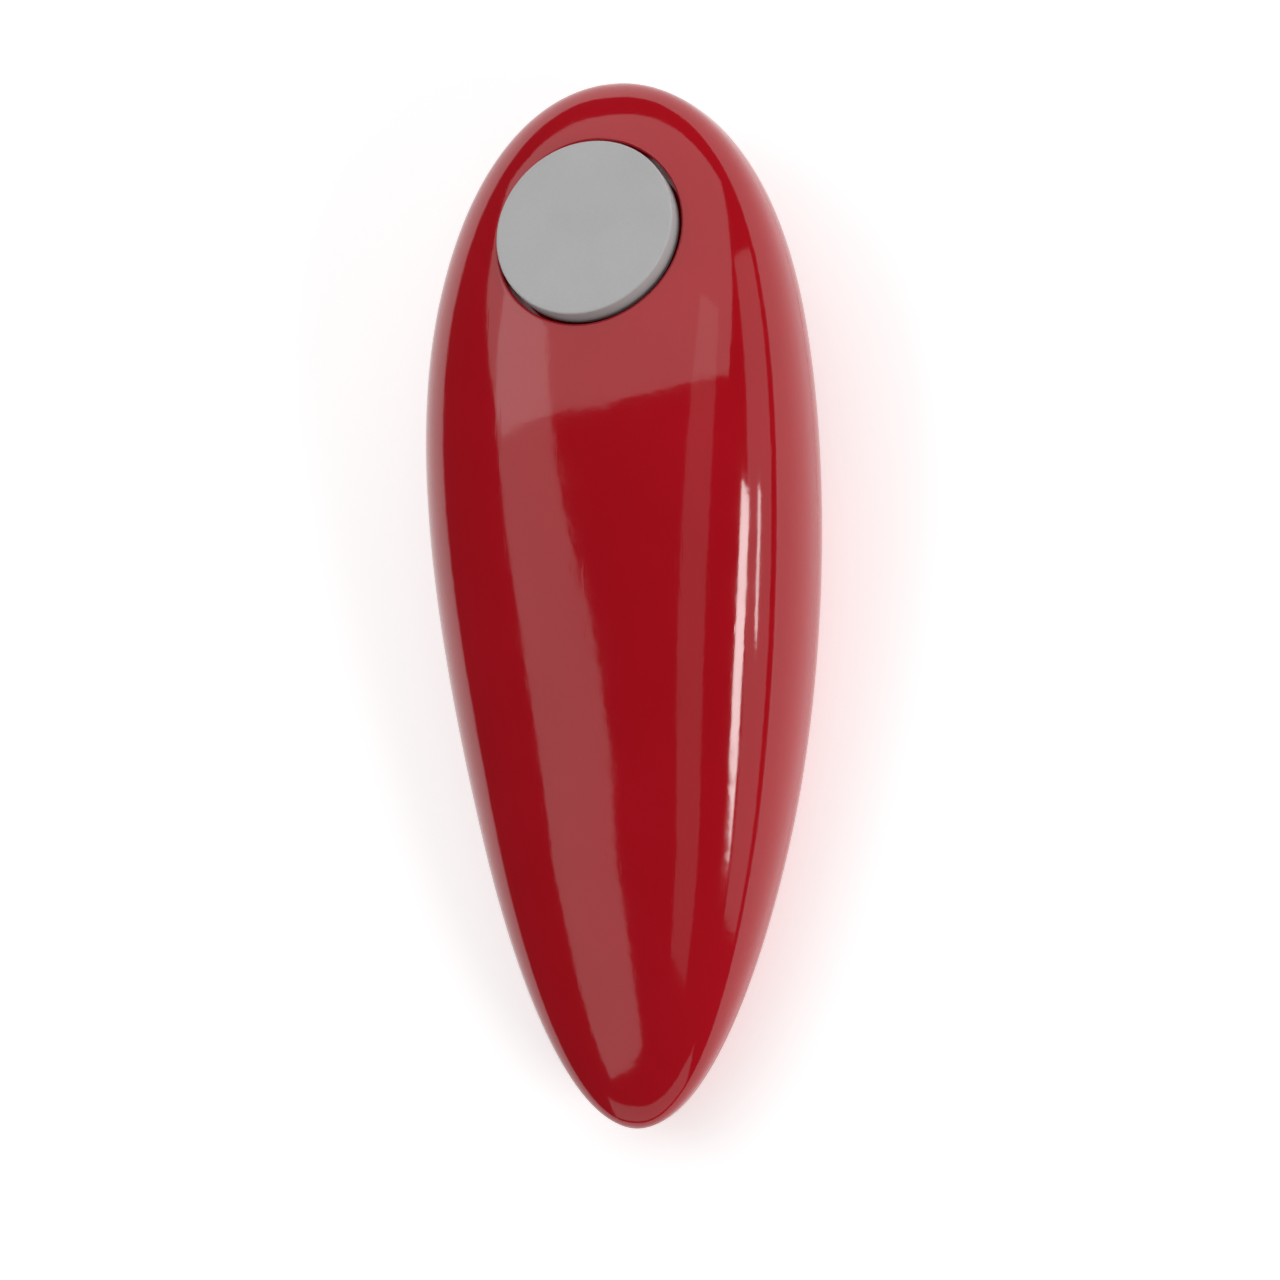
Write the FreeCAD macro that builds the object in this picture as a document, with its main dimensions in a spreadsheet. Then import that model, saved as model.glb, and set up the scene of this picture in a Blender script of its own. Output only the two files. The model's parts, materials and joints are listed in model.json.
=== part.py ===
import FreeCAD, Part

import math
import os
import re

import Sketcher
from FreeCAD import Placement, Rotation, Vector

# One-touch electric can opener. Millimetres. +X to the right, +Y towards the wide head end,
# +Z up. Origin: bottom centre of the whole object. Station s runs from the head end to the tail.

os.makedirs("parts", exist_ok=True)
doc = FreeCAD.newDocument("can_opener")
sheet = doc.addObject("Spreadsheet::Sheet", "Dims")

DIMS = {
    # whole body
    "body_length": 170, "wall_thickness": 2.2, "seam_gap": 0.25,
    # drive wheel and its shaft
    "drive_y": 62, "drive_shaft_radius": 2.5, "drive_wheel_radius": 7.2,
    "drive_wheel_low": 5.8, "drive_wheel_high": 10.2, "drive_shaft_high": 23,
    # cutter
    "cutter_y": 41.2, "cutter_offset": 3, "cutter_radius": 10, "cutter_pin_radius": 2.5,
    "journal_radius": 7.5, "stub_radius": 3,
    # plates
    "head_floor": 10.5, "head_plate_low": 10.9, "head_plate_step": 11.7, "head_plate_high": 12.9,
    "mid_plate_low": 17.2, "mid_plate_high": 19.2, "upper_plate_low": 28.5, "upper_plate_high": 30.3,
    # clutch level
    "clutch_low": 13.4, "clutch_high": 16.2,
    # gear levels
    "output_low": 19.7, "output_high": 22.3, "gear_c_low": 19.6, "gear_c_wheel_low": 23.2,
    "gear_c_wheel_high": 25.2, "gear_b_low": 22.9, "gear_b_wheel_low": 25.8, "gear_b_wheel_high": 27.6,
    "gear_a_low": 25.5, "gear_a_high": 27.9, "gear_a_wheel_low": 31.2, "gear_a_wheel_high": 33,
    "motor_pinion_low": 31, "motor_pinion_high": 34.2,
    # shafts
    "shaft_radius": 1.5, "motor_shaft_radius": 1, "running_gap": 0.05, "press_gap": 0.02,
    # motor
    "motor_radius": 10, "motor_half_flat": 7.55, "motor_wall": 0.7, "motor_low": 3.4,
    "motor_cap_high": 5.4, "motor_high": 28.4,
    # batteries
    "cell_radius": 7.1, "cell_x": 7.4, "cell_z": 9.7, "cell_can_length": 49.2, "cell_nub_length": 1.3,
    "cell_nub_radius": 2.75,
    # start button
    "button_radius": 14.8, "button_y": 60.4, "button_z": 35.55, "button_tilt": 17.5,
    "button_hole_radius": 15.5, "button_travel": 1.8,
    # lid magnet
    "magnet_x": 12, "magnet_y": 60.5, "magnet_radius": 3.5,
}

for row, (alias, number) in enumerate(DIMS.items(), start=1):
    sheet.set(f"A{row}", alias)
    sheet.set(f"B{row}", str(number))
    sheet.setAlias(f"B{row}", alias)
doc.recompute()


# ---------------------------------------------------------------- sheet expressions

def factor_value(text):
    """Value of one name or number, with an optional minus sign."""
    text = text.strip()
    if text.startswith("-"):
        return -factor_value(text[1:])
    if text in DIMS:
        return DIMS[text]
    return float(text)


def value(expression):
    """Value of a sum of products of sheet names and numbers."""
    total = 0.0
    for term in str(expression).replace("-", "+-").split("+"):
        if term.strip():
            product = 1.0
            for factor in term.split("*"):
                product *= factor_value(factor)
            total += product
    return total


def linked(expression):
    """The same expression, written as the model's own reference to the sheet."""
    return re.sub(r"[a-z_]{2,}", lambda found: "Dims." + found.group(0), str(expression))


def bind(target, path, expression):
    """Drive one property from the sheet when the expression names a sheet value."""
    if re.search(r"[a-z_]{2,}", str(expression)):
        target.setExpression(path, linked(expression))


# ---------------------------------------------------------------- sketches and features

def new_body(label):
    body = doc.addObject("PartDesign::Body", label)
    body.Label = label
    return body


def origin_plane(body, role):
    return next(feature for feature in body.Origin.OriginFeatures if feature.Role == role)


def new_sketch(body, role, level="0"):
    sketch = body.newObject("Sketcher::SketchObject", "Sketch")
    sketch.AttachmentSupport = (origin_plane(body, role), [""])
    sketch.MapMode = "FlatFace"
    sketch.AttachmentOffset = Placement(Vector(0, 0, value(level)), Rotation())
    bind(sketch, "AttachmentOffset.Base.z", level)
    return sketch


def add_polygon(sketch, points):
    """Closed outline whose corners are driven by sheet expressions."""
    first = sketch.GeometryCount
    spots = [Vector(value(x), value(y), 0) for x, y in points]
    count = len(points)
    for index in range(count):
        sketch.addGeometry(Part.LineSegment(spots[index], spots[(index + 1) % count]))
    for index in range(count):
        following = first + (index + 1) % count
        sketch.addConstraint(Sketcher.Constraint("Coincident", first + index, 2, following, 1))
    for index, pair in enumerate(points):
        for kind, expression in zip(("DistanceX", "DistanceY"), pair):
            rule = Sketcher.Constraint(kind, -1, 1, first + index, 1, value(expression))
            number = sketch.addConstraint(rule)
            bind(sketch, f"Constraints[{number}]", expression)


def add_circle(sketch, x, y, radius):
    """Circle whose centre and radius are driven by sheet expressions."""
    circle = Part.Circle(Vector(value(x), value(y), 0), Vector(0, 0, 1), value(radius))
    index = sketch.addGeometry(circle)
    number = sketch.addConstraint(Sketcher.Constraint("Radius", index, value(radius)))
    bind(sketch, f"Constraints[{number}]", radius)
    for kind, expression in (("DistanceX", x), ("DistanceY", y)):
        rule = Sketcher.Constraint(kind, -1, 1, index, 3, value(expression))
        number = sketch.addConstraint(rule)
        bind(sketch, f"Constraints[{number}]", expression)


def revolve(body, profile):
    """Turn a half profile of (radius, height) points about the body's own Z."""
    sketch = new_sketch(body, "XZ_Plane")
    add_polygon(sketch, profile)
    feature = body.newObject("PartDesign::Revolution", "Turned")
    feature.Profile = sketch
    feature.ReferenceAxis = (sketch, ["V_Axis"])
    feature.Angle = 360
    return feature


def pad(body, low, high, polygons=(), circles=()):
    """Straight block from level low to level high."""
    sketch = new_sketch(body, "XY_Plane", low)
    for polygon in polygons:
        add_polygon(sketch, polygon)
    for circle in circles:
        add_circle(sketch, *circle)
    feature = body.newObject("PartDesign::Pad", "Block")
    feature.Profile = sketch
    height = f"{high}-{low}".replace("--", "+")
    feature.Length = value(height)
    bind(feature, "Length", height)
    return feature


def cut_through(body, polygons=(), circles=()):
    """Cut right through in both directions."""
    sketch = new_sketch(body, "XY_Plane")
    for polygon in polygons:
        add_polygon(sketch, polygon)
    for circle in circles:
        add_circle(sketch, *circle)
    feature = body.newObject("PartDesign::Pocket", "Cut")
    feature.Profile = sketch
    feature.Type = "ThroughAll"
    feature.Midplane = True
    return feature


def around_axis(body, feature, count):
    """Repeat one feature evenly round the body's own Z."""
    pattern = body.newObject("PartDesign::PolarPattern", "Ring")
    pattern.Originals = [feature]
    pattern.Axis = (feature.Profile[0], ["N_Axis"])
    pattern.Angle = 360
    pattern.Occurrences = count
    body.Tip = pattern
    return pattern


def place(body, x, y, z="0", turn=0.0):
    body.Placement = Placement(Vector(value(x), value(y), value(z)), Rotation(Vector(0, 0, 1), turn))
    bind(body, "Placement.Base.x", x)
    bind(body, "Placement.Base.y", y)
    bind(body, "Placement.Base.z", z)


def free_shape(label, shape, placement=None):
    """A piece whose form needs surfaces or sweeps that no sketch feature gives."""
    part = doc.addObject("Part::Feature", label)
    part.Label = label
    part.Shape = shape
    if placement is not None:
        part.Placement = placement
    return part


# ---------------------------------------------------------------- gear teeth

PRESSURE_ANGLE = math.radians(20)
BACKLASH = 0.06


def involute(angle):
    return math.tan(angle) - angle


def tooth_half_angle(teeth, module, shift, radius):
    """Half the angle that one tooth fills at the given radius."""
    pitch_radius = module * teeth / 2
    base_radius = pitch_radius * math.cos(PRESSURE_ANGLE)
    thickness = module * (math.pi / 2 + 2 * shift * math.tan(PRESSURE_ANGLE)) - BACKLASH
    at_radius = math.acos(base_radius / max(radius, base_radius))
    return thickness / (2 * pitch_radius) + involute(PRESSURE_ANGLE) - involute(at_radius)


def gear_radii(teeth, module, shift):
    pitch_radius = module * teeth / 2
    return pitch_radius + module * (shift - 1.25), pitch_radius + module * (1 + shift)


def flank(teeth, module, shift, low_radius, high_radius, steps=4):
    """(radius, half angle) points up one side of a tooth."""
    rungs = [low_radius + (high_radius - low_radius) * step / steps for step in range(steps + 1)]
    return [(radius, tooth_half_angle(teeth, module, shift, radius)) for radius in rungs]


def polar(radius, angle):
    return (f"{radius * math.cos(angle):.6f}", f"{radius * math.sin(angle):.6f}")


def gap_outline(teeth, module, shift):
    """Space between two teeth, centred half a pitch away from +X."""
    root, tip = gear_radii(teeth, module, shift)
    middle = math.pi / teeth
    sides = flank(teeth, module, shift, root, tip + 0.02)
    lower = [polar(radius, half) for radius, half in sides]
    upper = [polar(radius, 2 * middle - half) for radius, half in sides]
    outer = [polar(tip + 1.0, 2 * middle - sides[-1][1]), polar(tip + 1.0, sides[-1][1])]
    return upper + outer + lower[::-1]


def tooth_outline(teeth, module, shift, sink=0.5):
    """One tooth centred on +X, its foot sunk into the root cylinder."""
    root, tip = gear_radii(teeth, module, shift)
    sides = flank(teeth, module, shift, root, tip)
    lower = [polar(root - sink, -sides[0][1])] + [polar(radius, -half) for radius, half in sides]
    upper = [polar(root - sink, sides[0][1])] + [polar(radius, half) for radius, half in sides]
    return lower + upper[::-1]


def cut_teeth(body, teeth, module, shift):
    around_axis(body, cut_through(body, [gap_outline(teeth, module, shift)]), teeth)


def raise_teeth(body, teeth, module, shift, low, high):
    around_axis(body, pad(body, low, high, [tooth_outline(teeth, module, shift)]), teeth)


def mesh_phase(first, second, first_teeth, second_teeth, first_phase):
    """Phase of the second gear so that one of its gaps faces the first gear's tooth."""
    direction = math.atan2(second[1] - first[1], second[0] - first[0])
    tooth = (direction - first_phase) * first_teeth / (2 * math.pi)
    return direction + math.pi - 2 * math.pi * (0.5 - tooth) / second_teeth


# Gear train: tooth counts, modules and positions. The small gears are shifted outwards and the
# large ones inwards by the same amount, which keeps ten teeth from being undercut.
SMALL_TEETH = 10
SHIFT = 0.4
OUTPUT_TEETH, OUTPUT_MODULE = 40, 0.8
WHEEL_C_TEETH, WHEEL_C_MODULE = 36, 0.6
WHEEL_B_TEETH, WHEEL_B_MODULE = 36, 0.5
WHEEL_A_TEETH, WHEEL_A_MODULE = 40, 0.5
CLUTCH_TEETH, CUTTER_GEAR_TEETH, CLUTCH_MODULE = 16, 36, 0.8


def stepped(start, module, wheel_teeth, degrees):
    distance = module * (wheel_teeth + SMALL_TEETH) / 2
    angle = math.radians(degrees)
    return (start[0] + distance * math.cos(angle), start[1] + distance * math.sin(angle))


DRIVE = (0.0, DIMS["drive_y"])
CUTTER_AXIS = (0.0, DIMS["cutter_y"])
AXIS_C = stepped(DRIVE, OUTPUT_MODULE, OUTPUT_TEETH, 243.257)
AXIS_B = stepped(AXIS_C, WHEEL_C_MODULE, WHEEL_C_TEETH, -66)
AXIS_A = stepped(AXIS_B, WHEEL_B_MODULE, WHEEL_B_TEETH, -92)
MOTOR = stepped(AXIS_A, WHEEL_A_MODULE, WHEEL_A_TEETH, -72.4)

PHASE_C = mesh_phase(DRIVE, AXIS_C, OUTPUT_TEETH, SMALL_TEETH, 0)
PHASE_B = mesh_phase(AXIS_C, AXIS_B, WHEEL_C_TEETH, SMALL_TEETH, PHASE_C)
PHASE_A = mesh_phase(AXIS_B, AXIS_A, WHEEL_B_TEETH, SMALL_TEETH, PHASE_B)
PHASE_MOTOR = mesh_phase(AXIS_A, MOTOR, WHEEL_A_TEETH, SMALL_TEETH, PHASE_A)
PHASE_CLUTCH = mesh_phase(CUTTER_AXIS, DRIVE, CUTTER_GEAR_TEETH, CLUTCH_TEETH, 0)


def spot(point):
    return (f"{point[0]:.6f}", f"{point[1]:.6f}")


# ---------------------------------------------------------------- outer body formula

SECTION_POWER = 2.4
FLAT_TAIL_LEVEL = 0.0
SLOPE_START = 17.0
SLOPE_LENGTH = 10.6


def smooth_step(t):
    t = min(max(t, 0.0), 1.0)
    return t * t * (3 - 2 * t)


def end_round(u):
    return math.sqrt(max(u * (1 - u), 0.0))


def half_width(u):
    return end_round(u) * (84.5 - 56.6 * u + 34.9 * u ** 2 - 10.8 * u ** 3)


def top_rise(u):
    return 0.94 * end_round(u) * (41.93 + 24.46 * u - 41.96 * u ** 2)


def bottom_drop(u):
    return end_round(u) * (57.2 - 55.34 * u + 27.29 * u ** 2)


def seam_level(s):
    """Height of the line where the two shells meet; it falls towards the tail."""
    return 20 - 8 * smooth_step((s - 35) / 90)


def signed_power(number, power):
    return math.copysign(abs(number) ** power, number)


def egg(inset, stations=22, around=36):
    """Closed teardrop solid, moved in by inset from the outer surface."""
    length = DIMS["body_length"]
    wires = []
    for index in range(stations):
        t = 0.012 + 0.976 * index / (stations - 1)
        u = 0.5 - 0.5 * math.cos(math.pi * t)
        s = inset + u * (length - 2 * inset)
        wide = half_width(u) * (1 - inset / 32.7)
        rise = top_rise(u) * (1 - inset / 20.0)
        drop = bottom_drop(u) * (1 - inset / 18.5)
        points = []
        for step in range(around):
            turn = -math.pi / 2 + 2 * math.pi * step / around
            across = wide * signed_power(math.cos(turn), 2 / SECTION_POWER)
            tall = rise if math.sin(turn) > 0 else drop
            up = seam_level(s) + tall * signed_power(math.sin(turn), 2 / SECTION_POWER)
            points.append(Vector(across, length / 2 - s, up))
        curve = Part.BSplineCurve()
        curve.interpolate(Points=points, PeriodicFlag=True)
        wires.append(Part.Wire([curve.toShape()]))
    return Part.makeLoft(wires, True, False)


HALF_SPAN = 50.0
PRISM_FOOT = -30.0


def side_prism(edges, start, end):
    """Everything under a chain of edges drawn on the left side plane, across the whole width."""
    low_start = Vector(-HALF_SPAN, start.y, PRISM_FOOT)
    low_end = Vector(-HALF_SPAN, end.y, PRISM_FOOT)
    loop = edges + [Part.makeLine(end, low_end), Part.makeLine(low_end, low_start)]
    loop.append(Part.makeLine(low_start, start))
    return Part.Face(Part.Wire(loop)).extrude(Vector(2 * HALF_SPAN, 0, 0))


def seam_prism(rise):
    """Everything below the seam surface, moved up by rise."""
    half = DIMS["body_length"] / 2
    stations = [-5 + 2.25 * step for step in range(81)]
    points = [Vector(-HALF_SPAN, half - s, seam_level(s) + rise) for s in stations]
    curve = Part.BSplineCurve()
    curve.interpolate(points)
    return side_prism([curve.toShape()], points[0], points[-1])


def underside_prism(rise):
    """Space below the underside: raised flat head, one smooth slope, flat tail."""
    steps = 24
    points = []
    for step in range(steps + 1):
        t = 1 - step / steps
        z = FLAT_TAIL_LEVEL + DIMS["head_floor"] * smooth_step(t) + rise
        points.append(Vector(-HALF_SPAN, SLOPE_START + SLOPE_LENGTH * t, z))
    level = Vector(0, -1, 0)
    slope = Part.BSplineCurve()
    slope.interpolate(Points=points, InitialTangent=level, FinalTangent=level)
    front = Vector(-HALF_SPAN, 92, points[0].z)
    back = Vector(-HALF_SPAN, -92, points[-1].z)
    edges = [Part.makeLine(front, points[0]), slope.toShape(), Part.makeLine(points[-1], back)]
    return side_prism(edges, front, back)


def box(x_low, x_high, y_low, y_high, z_low, z_high):
    return Part.makeBox(x_high - x_low, y_high - y_low, z_high - z_low, Vector(x_low, y_low, z_low))


def cylinder(radius, low, high, x=0.0, y=0.0):
    return Part.makeCylinder(radius, high - low, Vector(x, y, low))


WALL = DIMS["wall_thickness"]
outer = egg(0.0)
inner = egg(WALL)
lip_core = egg(WALL / 2)
rebate_core = egg(WALL / 2 - 0.1)
under = underside_prism(0.0)
under_inner = underside_prism(WALL)
shell = outer.cut(inner.cut(under_inner)).cut(under)
below_seam = seam_prism(0.0)

# ---------------------------------------------------------------- button frame

BUTTON_SEAT = Placement(
    Vector(0, DIMS["button_y"], DIMS["button_z"]),
    Rotation(Vector(1, 0, 0), -DIMS["button_tilt"]),
)


def tilted(shape):
    """Move a shape from the button's own frame to the object's frame."""
    copy = shape.copy()
    copy.Placement = BUTTON_SEAT
    return copy


WELL_FLOOR_TOP = -6.0
WELL_FLOOR_LOW = -7.2
STEM = (9.0, -7.5)
HOOK_X = (11.5, 13.5)
HOOK_Y = (0.5, 4.5)

# ---------------------------------------------------------------- top cover

CASE_SCREW_SPOTS = [(-21.0, 54.0), (21.0, 54.0), (-15.5, 8.0), (15.5, 8.0)]
BOSS_RADIUS = 2.9

hole = cylinder(DIMS["button_hole_radius"], WELL_FLOOR_TOP, 12)
well = cylinder(DIMS["button_hole_radius"] + 1.4, WELL_FLOOR_LOW, 6)
switch_walls = [box(5.0, 5.8, -12.2, -2.8, -13.4, -7.1), box(12.2, 13.0, -12.2, -2.8, -13.4, -7.1)]
well = well.fuse(switch_walls)
bosses = [cylinder(BOSS_RADIUS, seam_level(85 - y) + 0.4, 45, x, y) for x, y in CASE_SCREW_SPOTS]
cover = shell.cut(seam_prism(DIMS["seam_gap"]))
cover = cover.cut(rebate_core.common(seam_prism(2.0)))
additions = tilted(well).fuse(bosses).common(outer)
cover = cover.fuse(additions)
openings = [tilted(hole)]
openings.append(tilted(cylinder(2.2, -9, -5, *STEM)))
for side in (-1, 1):
    x_pair = sorted((side * (HOOK_X[0] - 0.4), side * (HOOK_X[1] + 0.9)))
    openings.append(tilted(box(*x_pair, HOOK_Y[0] - 0.4, HOOK_Y[1] + 0.4, -9, -5)))
for x, y in CASE_SCREW_SPOTS:
    openings.append(cylinder(1.15, seam_level(85 - y) - 1, seam_level(85 - y) + 9, x, y))
cover = cover.cut(openings)
hole_radius = DIMS["button_hole_radius"]
key_rib = box(-2.4, 2.4, -hole_radius - 0.2, -hole_radius + 0.4, -5.9, -1.6)
cover = cover.fuse(tilted(key_rib)).removeSplitter()
free_shape("top_cover", cover)

# ---------------------------------------------------------------- bottom housing

DOOR_HALF_WIDTH = 14.0
DOOR_TOP = 5.0
DOOR_FRONT = -0.5

housing = shell.common(below_seam)
lip = lip_core.cut(inner).common(seam_prism(1.7)).cut(seam_prism(-1.5))
lip = lip.cut(tilted(cylinder(DIMS["button_hole_radius"] + 1.7, WELL_FLOOR_LOW - 1, 6)))
lower_bosses = [cylinder(BOSS_RADIUS, -1, seam_level(85 - y), x, y) for x, y in CASE_SCREW_SPOTS]
lower_bosses = lower_bosses[0].fuse(lower_bosses[1:]).common(outer).cut(under)
housing = housing.fuse([lip, lower_bosses])
plate_ledge = Part.makePolygon([
    Vector(-17.8, 28.0, 0), Vector(17.8, 28.0, 0), Vector(17.8, 66.1, 0), Vector(11.15, 73.2, 0),
    Vector(-11.15, 73.2, 0), Vector(-17.8, 66.1, 0), Vector(-17.8, 28.0, 0),
])
plate_window = Part.makePolygon([
    Vector(-16.8, 29.6, 0), Vector(16.8, 29.6, 0), Vector(16.8, 65.4, 0), Vector(10.3, 71.95, 0),
    Vector(-10.3, 71.95, 0), Vector(-16.8, 65.4, 0), Vector(-16.8, 29.6, 0),
])
ledge_cut = Part.Face(plate_ledge).extrude(Vector(0, 0, 5))
ledge_cut.translate(Vector(0, 0, 11.65))
window_cut = Part.Face(plate_window).extrude(Vector(0, 0, 8))
window_cut.translate(Vector(0, 0, 6))
door_space = box(-DOOR_HALF_WIDTH - 0.3, DOOR_HALF_WIDTH + 0.3, -95, DOOR_FRONT + 0.3, -1, DOOR_TOP + 0.3)
housing = housing.cut([ledge_cut, window_cut, door_space])
screw_holes = []
for x, y in CASE_SCREW_SPOTS:
    base = DIMS["head_floor"] if y > 30 else FLAT_TAIL_LEVEL
    screw_holes.append(cylinder(1.55, base - 2, seam_level(85 - y) + 3, x, y))
    screw_holes.append(cylinder(2.55, base - 2, base + 1.9, x, y))
housing = housing.cut(screw_holes)
free_shape("bottom_housing", housing)

# battery cover: the floor panel under the cells with the curved foot of the tail
door = outer.cut(under).cut(inner.cut(under_inner))
door = door.common(box(-DOOR_HALF_WIDTH, DOOR_HALF_WIDTH, -90, DOOR_FRONT, -2, DOOR_TOP))
grips = [box(-6, 6, y, y + 0.9, -1, 0.5) for y in (-46, -48.2, -50.4, -52.6)]
door = door.cut(grips).removeSplitter()
free_shape("battery_cover", door)

# case screws: round head, shank into the top cover
screws = []
for x, y in CASE_SCREW_SPOTS:
    base = DIMS["head_floor"] if y > 30 else FLAT_TAIL_LEVEL
    tip = seam_level(85 - y) + 8
    head = cylinder(2.4, base + 0.3, base + 1.85, x, y).cut(box(x - 1.6, x + 1.6, y - 0.3, y + 0.3, base, base + 1))
    screws.append(head.fuse(cylinder(1.1, base + 1.85, tip, x, y)).removeSplitter())
free_shape("case_screws", Part.Compound(screws))

# ---------------------------------------------------------------- gearbox frame

head_plate = new_body("head_plate")
pad(head_plate, "head_plate_low", "head_plate_step", [[
    ("-16.65", "29.75"), ("16.65", "29.75"), ("16.65", "65.3"), ("10.2", "71.8"),
    ("-10.2", "71.8"), ("-16.65", "65.3"),
]])
pad(head_plate, "head_plate_step", "head_plate_high", [[
    ("-17.6", "28.2"), ("17.6", "28.2"), ("17.6", "66"), ("11", "73"), ("-11", "73"), ("-17.6", "66"),
]])
LOWER_PILLARS = [(-15.0, 31.0), (15.0, 31.0), (-8.5, 70.0), (8.5, 70.0)]
UPPER_PILLARS = [(5.6, 40.2), (-16.0, 27.0), (9.5, 20.0)]
PILLAR_RADIUS = 2.0
cut_through(head_plate, circles=[
    ("0", "drive_y", "4.02"),
    ("0", "cutter_y", "journal_radius+running_gap"),
    ("magnet_x", "magnet_y", "magnet_radius+running_gap"),
] + [(str(x), str(y), "1.2") for x, y in LOWER_PILLARS])

mid_plate = new_body("mid_plate")
pad(mid_plate, "mid_plate_low", "mid_plate_high", [[
    ("-12", "73"), ("-17.6", "66"), ("-17.6", "40"), ("-19", "34"), ("-19", "17"), ("12.5", "17"),
    ("12.5", "28"), ("17.6", "30"), ("17.6", "66"), ("12", "73"),
]])
shaft_holes = [(*spot(AXIS_C), "shaft_radius+running_gap"), (*spot(AXIS_B), "shaft_radius+running_gap"),
               (*spot(AXIS_A), "shaft_radius+running_gap")]
cut_through(mid_plate, circles=[
    ("0", "drive_y", "drive_shaft_radius+running_gap"),
    ("0", "cutter_y", "stub_radius+running_gap"),
] + shaft_holes + [(str(x), str(y), "1.2") for x, y in LOWER_PILLARS + UPPER_PILLARS])

upper_plate = new_body("upper_plate")
pad(upper_plate, "upper_plate_low", "upper_plate_high", [[
    ("-14", "47.2"), ("-4.5", "47.2"), ("9.8", "43.6"), ("12.5", "38"), ("13.5", "17"), ("10.5", "-0.5"),
    ("-10.5", "-0.5"), ("-13", "14"), ("-19.3", "22"), ("-19.3", "31"), ("-14.5", "40"),
]])
MOTOR_SCREW_REACH = 8.35
MOTOR_SCREWS = [(MOTOR[0] + side * MOTOR_SCREW_REACH, MOTOR[1]) for side in (-1, 1)]
cut_through(upper_plate, circles=[(*spot(MOTOR), "3.1")] + shaft_holes + [
    (f"{x:.4f}", f"{y:.4f}", "1.1") for x, y in MOTOR_SCREWS
] + [(str(x), str(y), "1.2") for x, y in UPPER_PILLARS])


def pillar_set(label, spots, low, high, screw_low, screw_high):
    """Spacers between two plates with the screws that run through them."""
    solids = []
    for x, y in spots:
        spacer = cylinder(PILLAR_RADIUS, low, high, x, y)
        shank = cylinder(1.15, screw_low, screw_high, x, y)
        solids.append(spacer.fuse(shank).removeSplitter())
    return free_shape(label, Part.Compound(solids))


pillar_set("lower_pillars", LOWER_PILLARS, 12.95, 17.15, 11.2, 19.2)
pillar_set("upper_pillars", UPPER_PILLARS, 19.25, 28.45, 17.5, 30.2)

bush = new_body("drive_bush")
revolve(bush, [("drive_shaft_radius+running_gap", "10.6"), ("4", "10.6"), ("4", "head_plate_high"),
               ("drive_shaft_radius+running_gap", "head_plate_high")])
place(bush, "0", "drive_y")

# ---------------------------------------------------------------- drive shaft group

shaft = new_body("drive_shaft")
revolve(shaft, [("0", "3.6"), ("drive_shaft_radius-0.3", "3.6"), ("drive_shaft_radius", "3.9"),
                ("drive_shaft_radius", "drive_shaft_high"), ("0", "drive_shaft_high")])
place(shaft, "0", "drive_y")

wheel = new_body("drive_wheel")
revolve(wheel, [
    ("drive_shaft_radius+press_gap", "drive_wheel_low"), ("drive_wheel_radius-0.5", "drive_wheel_low"),
    ("drive_wheel_radius", "drive_wheel_low+0.4"), ("drive_wheel_radius", "9.2"),
    ("drive_wheel_radius-0.4", "9.5"), ("4.4", "9.6"), ("4.4", "drive_wheel_high"),
    ("drive_shaft_radius+press_gap", "drive_wheel_high"),
])
SERRATIONS = 26
serration = math.pi / SERRATIONS
tip_radius = DIMS["drive_wheel_radius"]
notch = cut_through(wheel, [[
    polar(tip_radius - 0.75, 0.0), polar(tip_radius + 0.1, -0.8 * serration),
    polar(tip_radius + 1.0, -0.8 * serration), polar(tip_radius + 1.0, 0.8 * serration),
    polar(tip_radius + 0.1, 0.8 * serration),
]])
around_axis(wheel, notch, SERRATIONS)
place(wheel, "0", "drive_y")

drive_screw = new_body("drive_screw")
revolve(drive_screw, [("0", "1.2"), ("2.6", "1.2"), ("4", "2"), ("4", "3.5"), ("0", "3.5")])
cut = cut_through(drive_screw, [[("-3", "-0.45"), ("3", "-0.45"), ("3", "0.45"), ("-3", "0.45")]])
cut.Type = "Length"
cut.Midplane = False
cut.Length = 2.0
cut.Reversed = True
place(drive_screw, "0", "drive_y")

output = new_body("output_gear")
output_root, output_tip = gear_radii(OUTPUT_TEETH, OUTPUT_MODULE, -SHIFT)
revolve(output, [
    ("drive_shaft_radius+press_gap", "output_low"), (f"{output_tip:.5f}", "output_low"),
    (f"{output_tip:.5f}", "output_high"), ("5", "output_high"), ("5", "22.9"),
    ("drive_shaft_radius+press_gap", "22.9"),
])
cut_teeth(output, OUTPUT_TEETH, OUTPUT_MODULE, -SHIFT)
around_axis(output, cut_through(output, circles=[("9.4", "0", "2.6")]), 6)
place(output, "0", "drive_y")

washer = new_body("clutch_washer")
revolve(washer, [("drive_shaft_radius+press_gap", "16.5"), ("4.4", "16.5"), ("4.4", "16.9"),
                 ("drive_shaft_radius+press_gap", "16.9")])
place(washer, "0", "drive_y")

clutch = new_body("clutch_pinion")
clutch_root, clutch_tip = gear_radii(CLUTCH_TEETH, CLUTCH_MODULE, 0.0)
revolve(clutch, [
    ("drive_shaft_radius+running_gap", "clutch_low"), (f"{clutch_root:.5f}", "clutch_low"),
    (f"{clutch_root:.5f}", "clutch_high"), ("drive_shaft_radius+running_gap", "clutch_high"),
])
raise_teeth(clutch, CLUTCH_TEETH, CLUTCH_MODULE, 0.0, "clutch_low", "clutch_high")
place(clutch, "0", "drive_y", turn=math.degrees(PHASE_CLUTCH))

# ---------------------------------------------------------------- cutter carrier and cutter wheel

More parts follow.
